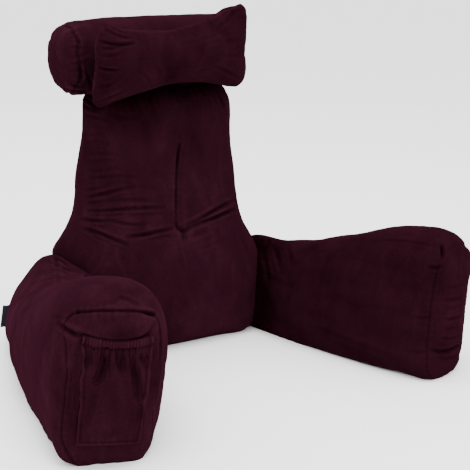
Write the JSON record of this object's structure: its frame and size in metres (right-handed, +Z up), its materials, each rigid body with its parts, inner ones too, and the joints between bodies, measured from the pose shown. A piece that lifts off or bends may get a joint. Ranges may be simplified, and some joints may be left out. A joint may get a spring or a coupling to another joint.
{
  "type": "reading pillow",
  "caption": "Velvet reading pillow with a leaning back, two splayed arms, a neck roll, a bow-shaped head pillow and a gathered pocket on one arm's end.",
  "frame": {"origin": "middle of the pillow's footprint, on the surface that it rests on", "axes": "+X towards the sitter's right hand when seen from the front, along the width over both arms; +Y from the arm ends to the rear of the back; +Z up"},
  "size_m": [0.8426, 0.693, 0.683],
  "materials": {
    "plum_velvet": "short-pile velvet, very dark plum, mottled where the nap is brushed",
    "navy_ribbon": "plain woven ribbon, dark navy, blank"
  },
  "bodies": {
    "root": {"back_cushion": "plum_velvet", "arm_left": "plum_velvet", "arm_right": "plum_velvet", "neck_roll": "plum_velvet", "head_pillow": "plum_velvet", "pocket_front": "plum_velvet", "pocket_gusset": "plum_velvet", "side_tag": "navy_ribbon"}
  },
  "joints": []
}
